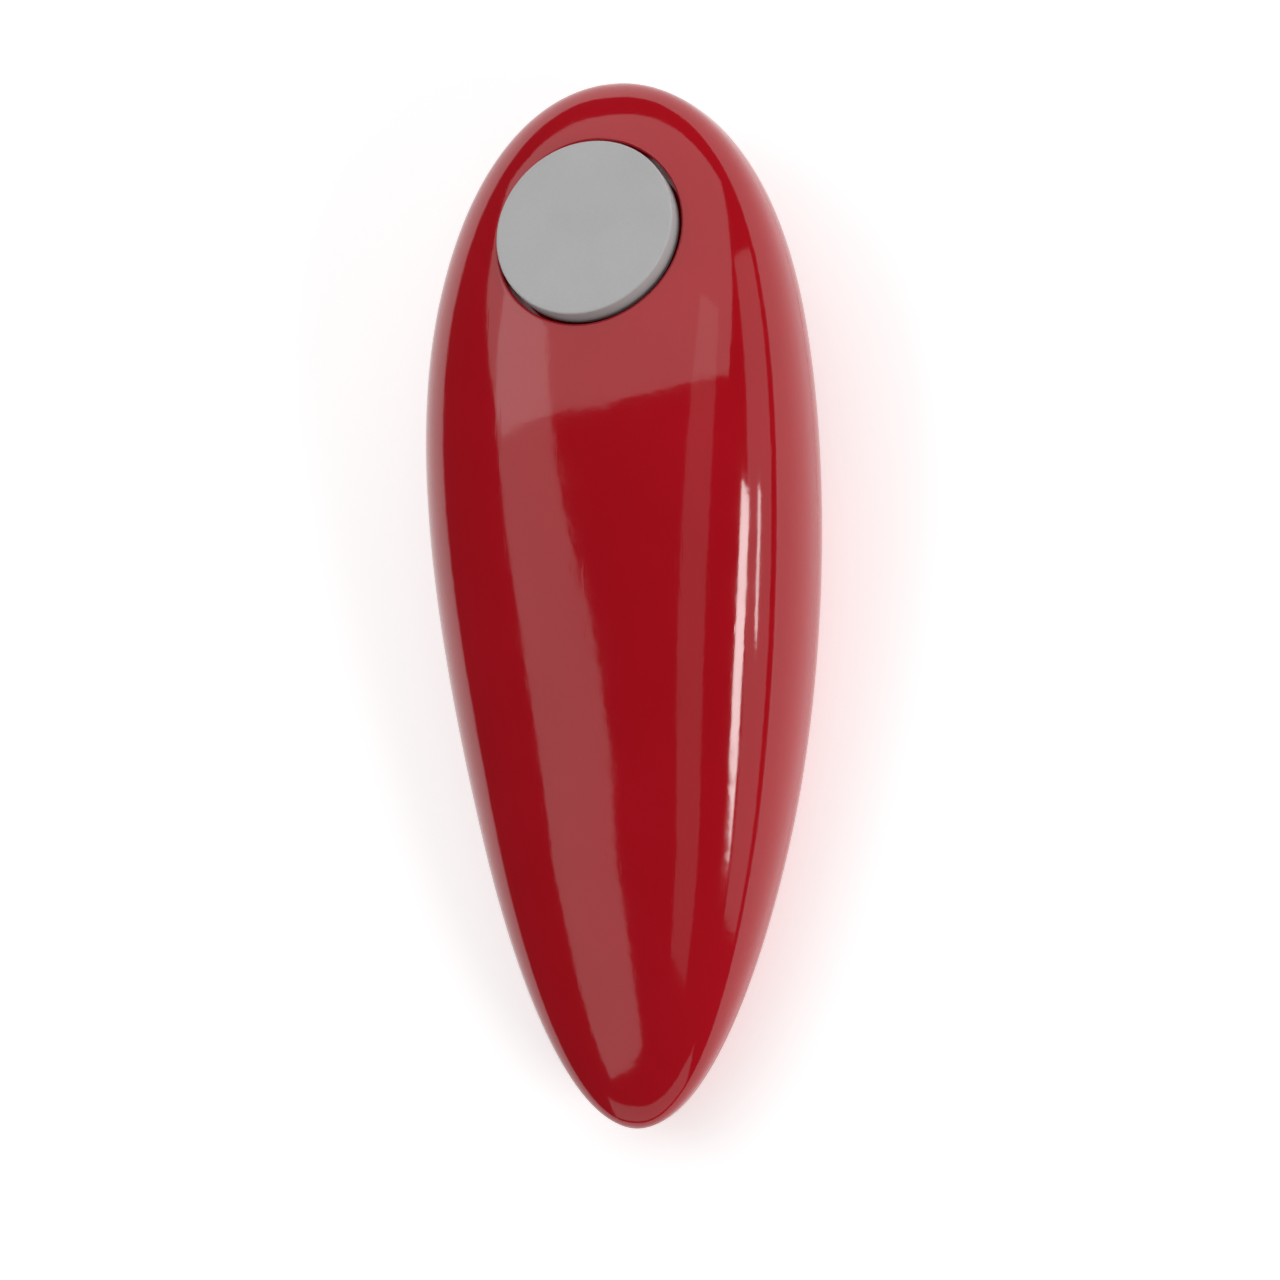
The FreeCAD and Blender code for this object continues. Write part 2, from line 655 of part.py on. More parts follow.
carrier = new_body("cutter_gear")
gear_root, gear_tip = gear_radii(CUTTER_GEAR_TEETH, CLUTCH_MODULE, 0.0)
revolve(carrier, [
    ("0", "10.3"), ("journal_radius", "10.3"), ("journal_radius", "clutch_low"),
    (f"{gear_tip:.5f}", "clutch_low"), (f"{gear_tip:.5f}", "clutch_high"), ("stub_radius+1.6", "clutch_high"),
    ("stub_radius+1.6", "16.9"), ("stub_radius", "16.9"), ("stub_radius", "mid_plate_high-0.3"),
    ("0", "mid_plate_high-0.3"),
])
cut_teeth(carrier, CUTTER_GEAR_TEETH, CLUTCH_MODULE, 0.0)
pin_hole = cut_through(carrier, circles=[("0", "-cutter_offset", "cutter_pin_radius+press_gap")])
pin_hole.Type = "Length"
pin_hole.Midplane = False
pin_hole.Length = 15.8
pin_hole.Reversed = True
place(carrier, "0", "cutter_y")

cutter_pin = new_body("cutter_pin")
revolve(cutter_pin, [
    ("0", "2.2"), ("cutter_pin_radius-0.3", "2.2"), ("cutter_pin_radius", "2.5"),
    ("cutter_pin_radius", "15.6"), ("0", "15.6"),
])
place(cutter_pin, "0", "cutter_y-cutter_offset")

cutter_clip = new_body("cutter_clip")
revolve(cutter_clip, [
    ("cutter_pin_radius+press_gap", "2.9"), ("4.6", "2.9"), ("4.9", "3.2"), ("4.9", "3.9"),
    ("cutter_pin_radius+press_gap", "3.9"),
])
place(cutter_clip, "0", "cutter_y-cutter_offset")

cutter = new_body("cutter_wheel")
revolve(cutter, [
    ("cutter_pin_radius+running_gap", "4.3"), ("6", "4.3"), ("6.6", "4.9"), ("cutter_radius-0.1", "6.5"),
    ("cutter_radius", "6.6"), ("cutter_radius-0.1", "6.7"), ("7.4", "7.9"), ("5", "8.4"), ("5", "9.9"),
    ("cutter_pin_radius+running_gap", "9.9"),
])
place(cutter, "0", "cutter_y-cutter_offset")

# ---------------------------------------------------------------- gear train

def compound_gear(label, axis, phase, wheel_teeth, wheel_module, small_module, low, wheel_low, wheel_high):
    """A small gear below and a large wheel above, on one hub."""
    body = new_body(label)
    small_root, small_tip = gear_radii(SMALL_TEETH, small_module, SHIFT)
    wheel_root, wheel_tip = gear_radii(wheel_teeth, wheel_module, -SHIFT)
    revolve(body, [
        ("shaft_radius+press_gap", low), (f"{small_root:.5f}", low), (f"{small_root:.5f}", wheel_low),
        (f"{wheel_tip:.5f}", wheel_low), (f"{wheel_tip:.5f}", wheel_high),
        ("shaft_radius+press_gap", wheel_high),
    ])
    cut_teeth(body, wheel_teeth, wheel_module, -SHIFT)
    raise_teeth(body, SMALL_TEETH, small_module, SHIFT, low, wheel_low)
    place(body, *spot(axis), turn=math.degrees(phase))


def plain_shaft(label, axis, low, high, radius="shaft_radius"):
    body = new_body(label)
    revolve(body, [("0", low), (radius, low), (radius, high), ("0", high)])
    place(body, *spot(axis))


compound_gear("gear_c", AXIS_C, PHASE_C, WHEEL_C_TEETH, WHEEL_C_MODULE, OUTPUT_MODULE,
              "gear_c_low", "gear_c_wheel_low", "gear_c_wheel_high")
plain_shaft("shaft_c", AXIS_C, "17.5", "30.2")
compound_gear("gear_b", AXIS_B, PHASE_B, WHEEL_B_TEETH, WHEEL_B_MODULE, WHEEL_C_MODULE,
              "gear_b_low", "gear_b_wheel_low", "gear_b_wheel_high")
plain_shaft("shaft_b", AXIS_B, "17.5", "30.2")

pinion_a = new_body("gear_a_pinion")
pinion_a_root = gear_radii(SMALL_TEETH, WHEEL_B_MODULE, SHIFT)[0]
revolve(pinion_a, [
    ("shaft_radius+press_gap", "gear_a_low-3"), (f"{pinion_a_root:.5f}", "gear_a_low-3"),
    (f"{pinion_a_root:.5f}", "gear_a_high"), ("shaft_radius+press_gap", "gear_a_high"),
])
raise_teeth(pinion_a, SMALL_TEETH, WHEEL_B_MODULE, SHIFT, "gear_a_low", "gear_a_high")
place(pinion_a, *spot(AXIS_A), turn=math.degrees(PHASE_A))

wheel_a = new_body("gear_a_wheel")
wheel_a_tip = gear_radii(WHEEL_A_TEETH, WHEEL_A_MODULE, -SHIFT)[1]
revolve(wheel_a, [
    ("shaft_radius+press_gap", "30.7"), ("3.4", "30.7"), ("3.4", "gear_a_wheel_low"),
    (f"{wheel_a_tip:.5f}", "gear_a_wheel_low"), (f"{wheel_a_tip:.5f}", "gear_a_wheel_high"),
    ("shaft_radius+press_gap", "gear_a_wheel_high"),
])
cut_teeth(wheel_a, WHEEL_A_TEETH, WHEEL_A_MODULE, -SHIFT)
place(wheel_a, *spot(AXIS_A), turn=math.degrees(PHASE_A))
plain_shaft("shaft_a", AXIS_A, "17.5", "33.4")

# ---------------------------------------------------------------- motor

motor_x, motor_y = spot(MOTOR)


def flatted(label, radius, half_flat, low, high):
    """Round block with two flat sides."""
    body = new_body(label)
    pad(body, low, high, circles=[("0", "0", radius)])
    wide = "15"
    cut_through(body, [
        [(f"-{wide}", half_flat), (wide, half_flat), (wide, wide), (f"-{wide}", wide)],
        [(f"-{wide}", f"-{wide}"), (wide, f"-{wide}"), (wide, f"-{half_flat}"), (f"-{wide}", f"-{half_flat}")],
    ])
    return body


motor_can = flatted("motor_can", "motor_radius", "motor_half_flat", "motor_cap_high", "motor_high")
hollow_sketch = new_sketch(motor_can, "XY_Plane", "motor_cap_high")
add_circle(hollow_sketch, "0", "0", "6.8")
hollow = motor_can.newObject("PartDesign::Pocket", "Hollow")
hollow.Profile = hollow_sketch
hollow.Length = 22.3
hollow.Reversed = True
pad(motor_can, "motor_high", "29.9", circles=[("0", "0", "3")])
cut_through(motor_can, circles=[("0", "0", "motor_shaft_radius+running_gap")] + [
    (str(side * MOTOR_SCREW_REACH), "0", "0.92") for side in (-1, 1)])
place(motor_can, motor_x, motor_y)

motor_cap = flatted("motor_end_cap", "motor_radius-0.2", "motor_half_flat-0.2", "motor_low", "motor_cap_high-0.05")
cut_through(motor_cap, circles=[("0", "0", "motor_shaft_radius+running_gap")])
place(motor_cap, motor_x, motor_y)

plain_shaft("motor_shaft", MOTOR, "3.7", "34.5", "motor_shaft_radius")
armature = new_body("motor_armature")
revolve(armature, [
    ("motor_shaft_radius+press_gap", "7"), ("2.6", "7"), ("2.6", "10"), ("6", "10.6"), ("6", "23"),
    ("3", "24"), ("motor_shaft_radius+press_gap", "24"),
])
place(armature, motor_x, motor_y)

pinion = new_body("motor_pinion")
pinion_root = gear_radii(SMALL_TEETH, WHEEL_A_MODULE, SHIFT)[0]
revolve(pinion, [
    ("motor_shaft_radius+press_gap", "motor_pinion_low"), (f"{pinion_root:.5f}", "motor_pinion_low"),
    (f"{pinion_root:.5f}", "motor_pinion_high"), ("motor_shaft_radius+press_gap", "motor_pinion_high"),
])
raise_teeth(pinion, SMALL_TEETH, WHEEL_A_MODULE, SHIFT, "motor_pinion_low", "motor_pinion_high")
place(pinion, motor_x, motor_y, turn=math.degrees(PHASE_MOTOR))

motor_screws = []
for x, y in MOTOR_SCREWS:
    motor_screws.append(cylinder(0.9, 27.0, 30.35, x, y).fuse(cylinder(1.5, 30.35, 31.4, x, y)).removeSplitter())
free_shape("motor_screws", Part.Compound(motor_screws))

TERMINAL_REACH = 4.0
terminal_edge = MOTOR[1] + DIMS["motor_half_flat"] - 0.17
terminals = []
for side in (-1, 1):
    x = side * TERMINAL_REACH
    terminals.append(box(x - 1.2, x + 1.2, terminal_edge, terminal_edge + 2.0, 4.0, 4.4))
free_shape("motor_terminals", Part.Compound(terminals))

# ---------------------------------------------------------------- batteries and contacts

FRONT_TAB_FACE = -1.2
cell_one_front = FRONT_TAB_FACE - 0.1
cell_can = DIMS["cell_can_length"]
nub = DIMS["cell_nub_length"]


def cell(x, front, nub_forward):
    """One AA cell lying along Y."""
    z = DIMS["cell_z"]
    radius = DIMS["cell_radius"]
    total = cell_can + nub
    can_front = front - nub if nub_forward else front
    can = Part.makeCylinder(radius, cell_can, Vector(x, can_front - cell_can, z), Vector(0, 1, 0))
    nub_start = can_front if nub_forward else can_front - cell_can - nub
    button_end = Part.makeCylinder(DIMS["cell_nub_radius"], nub, Vector(x, nub_start, z), Vector(0, 1, 0))
    return can.fuse(button_end).removeSplitter()


SPRING_ROOM = 4.0
left_x, right_x = -DIMS["cell_x"], DIMS["cell_x"]
left_cell = cell(left_x, cell_one_front, True)
right_cell = cell(right_x, cell_one_front - SPRING_ROOM, False)
free_shape("battery_cells", Part.Compound([left_cell, right_cell]))
left_tail = cell_one_front - cell_can - nub
right_tail = left_tail - SPRING_ROOM


def cone_spring(x, wide_end, narrow_end, z, turns=4, wide=4.6, narrow=2.4, wire=0.35):
    """Tapered battery spring standing along Y, made by sweeping a round wire."""
    length = narrow_end - wide_end
    points = []
    for step in range(turns * 10 + 1):
        t = step / (turns * 10)
        angle = 2 * math.pi * turns * t
        radius = wide + (narrow - wide) * t
        points.append(Vector(x + radius * math.cos(angle), wide_end + length * t, z + radius * math.sin(angle)))
    path = Part.BSplineCurve()
    path.interpolate(points)
    tangent = points[1] - points[0]
    ring = Part.Wire([Part.Circle(points[0], tangent, wire).toShape()])
    return Part.Wire([path.toShape()]).makePipeShell([ring], True, True)


z_cell = DIMS["cell_z"]
positive_plate = box(left_x - 4.5, left_x + 4.5, FRONT_TAB_FACE, FRONT_TAB_FACE + 0.4, 6.2, 16.4)
positive_tail = box(left_x - 1.2, left_x + 1.2, FRONT_TAB_FACE, FRONT_TAB_FACE + 0.4, 16.4, 19.6)
free_shape("positive_tab", positive_plate.fuse(positive_tail).removeSplitter())
front_plate = box(right_x - 5.2, right_x + 5.2, FRONT_TAB_FACE, FRONT_TAB_FACE + 0.4, 4.2, 16.4)
front_spring = cone_spring(right_x, FRONT_TAB_FACE - 0.2, right_cell.BoundBox.YMax + 0.42, z_cell)
front_tail = box(right_x - 1.2, right_x + 1.2, FRONT_TAB_FACE, FRONT_TAB_FACE + 0.4, 16.4, 19.6)
free_shape("negative_spring", front_plate.fuse([front_tail, front_spring]))
bridge = box(left_x - 5.2, right_x + 3.5, right_tail - 0.55, right_tail - 0.15, 6.5, 13)
rear_spring = cone_spring(left_x, right_tail - 0.05, left_tail - 0.42, z_cell, wide=4.0)
free_shape("rear_bridge", bridge.fuse(rear_spring))

tray = box(-15.9, 15.9, right_tail - 1.8, 0.2, 3.4, 18.6).common(egg(WALL + 0.35, 16, 28))
hollows = []
for x in (left_x, right_x):
    hollows.append(Part.makeCylinder(7.35, -right_tail - 0.8, Vector(x, right_tail - 0.25, z_cell), Vector(0, 1, 0)))
hollows.append(box(-14.75, 14.75, right_tail - 0.25, -1.05, 3.0, z_cell))
hollows.append(box(-13.2, -1.6, -1.3, -0.7, 3, 19))
hollows.append(box(1.6, 13.2, -1.3, -0.7, 3, 19))
hollows.append(box(-13.2, 11.4, right_tail - 0.65, right_tail - 0.1, 3, 13.6))
tray = tray.cut(hollows)
free_shape("battery_tray", tray.removeSplitter())

# ---------------------------------------------------------------- switch

switch_body = box(6.0, 12.0, -12.0, -3.0, -13.2, -10.4)
switch_body = switch_body.cut(cylinder(1.1, -13.0, -10, *STEM))
free_shape("switch_body", switch_body, BUTTON_SEAT)
free_shape("switch_plunger", cylinder(1.05, -11.0, -8.25, *STEM), BUTTON_SEAT)
switch_legs = [box(x - 0.3, x + 0.3, -13.6, -12.02, -13.1, -12.7) for x in (7.5, 10.5)]
free_shape("switch_terminals", Part.Compound(switch_legs), BUTTON_SEAT)

# ---------------------------------------------------------------- start button

button = cylinder(DIMS["button_radius"], -3.9, 0).cut(cylinder(DIMS["button_radius"] - 1.5, -5, -1.8))
rim_edges = [edge for edge in button.Edges if abs(edge.BoundBox.ZMin) < 1e-6 and abs(edge.BoundBox.ZMax) < 1e-6]
button = button.makeChamfer(0.25, rim_edges)
button = button.fuse([cylinder(1.6, -7.9, -1.7, *STEM), cylinder(2.2, -3.6, -1.7)])
for side in (-1, 1):
    legs = sorted((side * HOOK_X[0], side * HOOK_X[1]))
    barb = sorted((side * HOOK_X[0], side * (HOOK_X[1] + 0.5)))
    button = button.fuse([
        box(*legs, *HOOK_Y, -8.9, -1.7),
        box(*barb, *HOOK_Y, -8.9, -7.55),
    ])
key_slot = box(-2.9, 2.9, -DIMS["button_radius"] - 0.5, -DIMS["button_radius"] + 0.15, -4.5, -1.2)
button = button.cut(key_slot).removeSplitter()
free_shape("start_button", button, BUTTON_SEAT)


def coil(radius, low, high, turns, wire):
    """Round-wire compression spring about Z."""
    steps = turns * 12
    points = []
    for step in range(steps + 1):
        angle = 2 * math.pi * turns * step / steps
        level = low + wire + (high - low - 2 * wire) * step / steps
        points.append(Vector(radius * math.cos(angle), radius * math.sin(angle), level))
    path = Part.BSplineCurve()
    path.interpolate(points)
    ring = Part.Wire([Part.Circle(points[0], points[1] - points[0], wire).toShape()])
    return Part.Wire([path.toShape()]).makePipeShell([ring], True, True)


free_shape("button_spring", coil(3.6, -5.9, -1.9, 3, 0.35), BUTTON_SEAT)

# ---------------------------------------------------------------- lid magnet

holder = new_body("magnet_holder")
revolve(holder, [
    ("0", "4.5"), ("magnet_radius", "4.5"), ("magnet_radius", "13.2"), ("magnet_radius+0.7", "13.2"),
    ("magnet_radius+0.7", "13.9"), ("2.8", "13.9"), ("2.8", "6"), ("0", "6"),
])
place(holder, "magnet_x", "magnet_y")
magnet = new_body("lid_magnet")
revolve(magnet, [("0", "2.5"), ("magnet_radius-0.3", "2.5"), ("magnet_radius", "2.8"), ("magnet_radius", "4.45"),
                 ("0", "4.45")])
place(magnet, "magnet_x", "magnet_y")
magnet_spring = coil(2.3, 6.1, 17.1, 6, 0.3)
free_shape("magnet_spring", magnet_spring, Placement(Vector(DIMS["magnet_x"], DIMS["magnet_y"], 0), Rotation()))

# ---------------------------------------------------------------- wires

WIRE_RADIUS = 0.55


def rounded_wire(label, corners, bend=2.5):
    """Insulated wire: straight runs joined by tangent arcs, swept whole."""
    points = [Vector(*corner) for corner in corners]
    edges = []
    start = points[0]
    for before, corner, after in zip(points, points[1:], points[2:]):
        into = (before - corner).normalize()
        away = (after - corner).normalize()
        half = into.getAngle(away) / 2
        reach = bend / math.tan(half)
        first = corner + into * reach
        last = corner + away * reach
        centre = corner + (into + away).normalize() * (bend / math.sin(half))
        middle = centre + (corner - centre).normalize() * bend
        edges.append(Part.makeLine(start, first))
        edges.append(Part.Arc(first, middle, last).toShape())
        start = last
    edges.append(Part.makeLine(start, points[-1]))
    path = Part.Wire(edges)
    ring = Part.Wire([Part.Circle(points[0], points[1] - points[0], WIRE_RADIUS).toShape()])
    swept = path.makePipeShell([ring], True, True)
    ideal = math.pi * WIRE_RADIUS ** 2 * path.Length
    print(f"{label}: length {path.Length:.1f} mm, volume ratio {swept.Volume / ideal:.4f}")
    return free_shape(label, swept)


switch_left = BUTTON_SEAT.multVec(Vector(7.5, -14.1, -12.9))
switch_right = BUTTON_SEAT.multVec(Vector(10.5, -14.1, -12.9))
rounded_wire("wire_positive", [
    (-7.4, -1.0, 19.95), (-7.4, -1.0, 24), (11.3, -1.0, 24), (11.3, 12.5, 24), (16.2, 18.5, 24),
    (16.2, 36.5, 24), (10.5, 41.8, 26.2), tuple(switch_right),
], bend=1.6)
rounded_wire("wire_motor", [
    (4.0, 16.9, 4.75), (4.0, 16.9, 8.5), (13.8, 16.9, 8.5), (13.8, 16.9, 21.6), (13.8, 32, 21.6),
    (12.4, 37.6, 26.2), tuple(switch_left),
], bend=1.6)
rounded_wire("wire_negative", [
    (7.4, -1.0, 19.95), (7.4, -1.0, 22.2), (-11.3, -5, 22.2), (-11.3, 10, 22.2), (-13.5, 15.6, 18),
    (-13.5, 15.6, 7.5), (-4.0, 16.9, 7.5), (-4.0, 16.9, 4.75),
], bend=1.2)

# ---------------------------------------------------------------- checks and files

doc.recompute()
written = 0
for item in doc.Objects:
    if any(word in item.State for word in ("Invalid", "Error")):
        raise RuntimeError(f"{item.Name} does not rebuild: {item.State}")
for item in doc.Objects:
    if item.TypeId not in ("PartDesign::Body", "Part::Feature"):
        continue
    shape = item.Shape
    if shape.isNull() or not shape.isValid():
        raise RuntimeError(f"{item.Label} has no valid shape")
    path = f"parts/{item.Label}.step"
    shape.exportStep(path)
    written += 1
    print(f"{item.Label}: {shape.Volume:.1f} mm3, {len(shape.Solids)} solid(s), {os.path.getsize(path) // 1024} kB")
print(f"{written} files")
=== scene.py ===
import json
import math

import bmesh
import bpy
from mathutils import Matrix, Vector


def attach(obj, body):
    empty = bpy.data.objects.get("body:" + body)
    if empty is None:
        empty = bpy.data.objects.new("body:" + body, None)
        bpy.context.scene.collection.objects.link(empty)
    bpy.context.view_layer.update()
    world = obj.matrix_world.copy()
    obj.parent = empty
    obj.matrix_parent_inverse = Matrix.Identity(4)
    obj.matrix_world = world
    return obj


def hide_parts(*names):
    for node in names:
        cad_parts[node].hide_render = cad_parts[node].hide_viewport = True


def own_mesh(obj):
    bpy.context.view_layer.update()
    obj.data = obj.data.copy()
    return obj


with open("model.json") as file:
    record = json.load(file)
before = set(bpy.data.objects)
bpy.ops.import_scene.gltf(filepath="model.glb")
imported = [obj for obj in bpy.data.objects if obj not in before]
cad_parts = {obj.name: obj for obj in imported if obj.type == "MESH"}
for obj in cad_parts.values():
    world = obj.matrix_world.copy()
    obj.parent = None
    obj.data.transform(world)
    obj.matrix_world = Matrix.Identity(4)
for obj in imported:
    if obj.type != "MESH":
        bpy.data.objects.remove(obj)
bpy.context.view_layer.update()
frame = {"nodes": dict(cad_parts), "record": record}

# One-touch electric can opener. The body's formula works in millimetres and every mesh is
# written in metres. +Y is the wide head end, +Z is up, and s runs from the head to the tail.

MM = 0.001

# ------------------------------------------------------------------ body formula

LENGTH = 170.0
SECTION_POWER = 2.4
WALL = 2.2
SEAM_GAP = 0.42
HEAD_FLOOR = 10.5
SLOPE_START = 17.0
SLOPE_LENGTH = 10.6


def smooth_step(t):
    t = min(max(t, 0.0), 1.0)
    return t * t * (3 - 2 * t)


def end_round(u):
    return math.sqrt(max(u * (1 - u), 0.0))


def half_width(u):
    return end_round(u) * (84.5 - 56.6 * u + 34.9 * u ** 2 - 10.8 * u ** 3)


def top_rise(u):
    return 0.94 * end_round(u) * (41.93 + 24.46 * u - 41.96 * u ** 2)


def bottom_drop(u):
    return end_round(u) * (57.2 - 55.34 * u + 27.29 * u ** 2)


def seam_level(s):
    """Height of the joint line between the two shells."""
    return 20 - 8 * smooth_step((s - 35) / 90)


def floor_level(y):
    """Height of the underside: flat tail, short slope, raised flat head."""
    return HEAD_FLOOR * smooth_step((y - SLOPE_START) / SLOPE_LENGTH)


def top_surface(x, y):
    """Height of the top surface over a point of the plan."""
    s = min(max(LENGTH / 2 - y, 0.0), LENGTH)
    u = s / LENGTH
    across = min(abs(x) / max(half_width(u), 1e-6), 1.0)
    return seam_level(s) + top_rise(u) * (1 - across ** SECTION_POWER) ** (1 / SECTION_POWER)


def soft_max(first, second, blend=1.0):
    overlap = max(blend - abs(first - second), 0.0) / blend
    return max(first, second) + overlap * overlap * blend / 4


# ------------------------------------------------------------------ button frame

BUTTON_CENTRE = Vector((0.0, 60.4, 35.55))
BUTTON_TILT = math.radians(17.5)
BUTTON_FRAME = Matrix.Translation(BUTTON_CENTRE) @ Matrix.Rotation(-BUTTON_TILT, 4, "X")
HOLE_RADIUS = 15.5
BUTTON_RADIUS = 14.8
WELL_FLOOR = -6.0
WELL_STEPS = [(HOLE_RADIUS, -4.5), (HOLE_RADIUS, WELL_FLOOR), (9.0, WELL_FLOOR), (2.0, WELL_FLOOR)]
HOLE_ROUNDING = 0.55
COVER_THICKNESS = 1.4


def surface_in_button_frame(radius, angle):
    """Height of the top surface over the button's own plane, found by halving."""
    low, high = -14.0, 6.0
    for _ in range(40):
        middle = (low + high) / 2
        local = Vector((radius * math.cos(angle), radius * math.sin(angle), middle))
        spot = BUTTON_FRAME @ local
        if spot.z < top_surface(spot.x, spot.y):
            low = middle
        else:
            high = middle
    return (low + high) / 2


# ------------------------------------------------------------------ mesh helpers

def new_object(name, vertices, faces, sharp_degrees=35.0):
    """Mesh object from millimetre points, smooth except over sharp edges."""
    mesh = bpy.data.meshes.new(name)
    mesh.from_pydata([Vector(vertex) * MM for vertex in vertices], [], faces)
    mesh.validate()
    obj = bpy.data.objects.new(name, mesh)
    bpy.context.scene.collection.objects.link(obj)
    smooth(obj, sharp_degrees)
    return obj


def smooth(obj, sharp_degrees=35.0):
    for polygon in obj.data.polygons:
        polygon.use_smooth = True
    obj.data.set_sharp_from_angle(angle=math.radians(sharp_degrees))


def grid_faces(rows, columns, closed):
    """Quads between consecutive rows of points."""
    faces = []
    last = columns if closed else columns - 1
    for row in range(rows - 1):
        for column in range(last):
            following = (column + 1) % columns
            faces.append((
                row * columns + column, row * columns + following,
                (row + 1) * columns + following, (row + 1) * columns + column,
            ))
    return faces


def outward(obj):
    mesh = bmesh.new()
    mesh.from_mesh(obj.data)
    bmesh.ops.recalc_face_normals(mesh, faces=mesh.faces)
    mesh.to_mesh(obj.data)
    mesh.free()


def settle(obj, sharp_degrees=35.0):
    """Write the modifiers' result into the mesh."""
    graph = bpy.context.evaluated_depsgraph_get()
    result = bpy.data.meshes.new_from_object(obj.evaluated_get(graph))
    obj.modifiers.clear()
    obj.data = result
    smooth(obj, sharp_degrees)


def thicken(obj, thickness):
    modifier = obj.modifiers.new("wall", "SOLIDIFY")
    modifier.thickness = thickness * MM
    modifier.offset = -1.0
    modifier.use_even_offset = True
    settle(obj)


def carve(obj, cutters, operation="DIFFERENCE"):
    """Boolean with helper objects, which are removed afterwards."""
    for cutter in cutters:
        modifier = obj.modifiers.new("carve", "BOOLEAN")
        modifier.operation = operation
        modifier.solver = "EXACT"
        modifier.object = cutter
    settle(obj)
    for cutter in cutters:
        bpy.data.objects.remove(cutter)


def extrusion(name, outline, low, high):
    """Closed prism over a plan outline."""
    count = len(outline)
    vertices = [(x, y, low) for x, y in outline] + [(x, y, high) for x, y in outline]
    faces = [tuple(range(count))[::-1], tuple(range(count, 2 * count))]
    for index in range(count):
        following = (index + 1) % count
        faces.append((index, following, count + following, count + index))
    obj = new_object(name, vertices, faces)
    outward(obj)
    return obj


def ring_outline(radius, x=0.0, y=0.0, count=64):
    turns = [2 * math.pi * step / count for step in range(count)]
    return [(x + radius * math.cos(turn), y + radius * math.sin(turn)) for turn in turns]


def box_outline(x_low, x_high, y_low, y_high):
    return [(x_low, y_low), (x_high, y_low), (x_high, y_high), (x_low, y_high)]


def lathe(profile, count=128):
    """Vertices and faces of a closed profile of (radius, height) turned about Z."""
    vertices = []
    for radius, height in profile:
        for step in range(count):
            turn = 2 * math.pi * step / count
            vertices.append((radius * math.cos(turn), radius * math.sin(turn), height))
    faces = grid_faces(len(profile), count, True)
    faces.append(tuple(range(count))[::-1])
    last = (len(profile) - 1) * count
    faces.append(tuple(range(last, last + count)))
    return vertices, faces


# ------------------------------------------------------------------ top cover

OUTLINE_POINTS = 420
COVER_RINGS = 170
FILLET_STEPS = 8


def outline_point(turn):
    """Point of the plan outline; the ends are reached at turn 0 and half a turn."""
    u = (1 - math.cos(turn)) / 2
    width = half_width(u) if math.sin(turn) >= 0 else -half_width(u)
    return width, LENGTH / 2 - u * LENGTH


def cover_rings():
    """Rings of points from the seam inwards, over the hole's edge, down the well and across it."""
    rays = []
    for index in range(OUTLINE_POINTS):
        end = outline_point(2 * math.pi * (index + 0.5) / OUTLINE_POINTS)
        angle = math.atan2(end[1] - BUTTON_CENTRE.y, end[0])
        radius = HOLE_RADIUS + HOLE_ROUNDING
        height = surface_in_button_frame(radius, angle)
        start = BUTTON_FRAME @ Vector((radius * math.cos(angle), radius * math.sin(angle), height))
        rays.append((end, angle, start))
    rings = []
    for ring in range(COVER_RINGS):
        away = ring / (COVER_RINGS - 1)
        reach = away ** 2.3
        row = []
        for end, angle, start in rays:
            x = end[0] + (start.x - end[0]) * reach
            y = end[1] + (start.y - end[1]) * reach
            level = seam_level(LENGTH / 2 - y) + SEAM_GAP
            row.append((x, y, max(top_surface(x, y), level)))
        rings.append(row)
    for step in range(1, FILLET_STEPS + 1):
        turn = math.pi / 2 * (1 - step / FILLET_STEPS)
        radius = HOLE_RADIUS + HOLE_ROUNDING * (1 - math.cos(turn))
        row = []
        for end, angle, start in rays:
            height = surface_in_button_frame(radius, angle) - HOLE_ROUNDING * (1 - math.sin(turn))
            local = Vector((radius * math.cos(angle), radius * math.sin(angle), height))
            row.append(tuple(BUTTON_FRAME @ local))
        rings.append(row)
    for radius, height in WELL_STEPS:
        row = []
        for end, angle, start in rays:
            local = Vector((radius * math.cos(angle), radius * math.sin(angle), height))
            row.append(tuple(BUTTON_FRAME @ local))
        rings.append(row)
    return rings


def make_top_cover():
    rings = cover_rings()
    vertices = [point for row in rings for point in row]
    faces = grid_faces(len(rings), OUTLINE_POINTS, True)
    faces.append(tuple(range((len(rings) - 1) * OUTLINE_POINTS, len(rings) * OUTLINE_POINTS)))
    cover = new_object("cover_skin", vertices, faces)
    outward(cover)
    thicken(cover, COVER_THICKNESS)
    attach(cover, "housing")
    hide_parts("top_cover")
    return cover


# ------------------------------------------------------------------ bottom housing and battery cover

FLANK_STEPS = 30
FLOOR_STEPS = 22
STATIONS = 190
DOOR_HALF_WIDTH = 14.0
DOOR_TOP = 5.0
DOOR_FRONT = -0.5
DOOR_GAP = 0.3
GRIP_STARTS = (-46, -48.2, -50.4, -52.6)
GRIP_WIDTH = 0.9
GRIP_DEPTH = 0.5


def station_list():
    """Stations packed closely at both ends and along the slope."""
    even = [LENGTH * (0.5 - 0.5 * math.cos(math.pi * step / STATIONS)) for step in range(1, STATIONS)]
    slope = [LENGTH / 2 - SLOPE_START - SLOPE_LENGTH + 0.35 * step for step in range(32)]
    return sorted(even + slope + [0.02, LENGTH - 0.02])


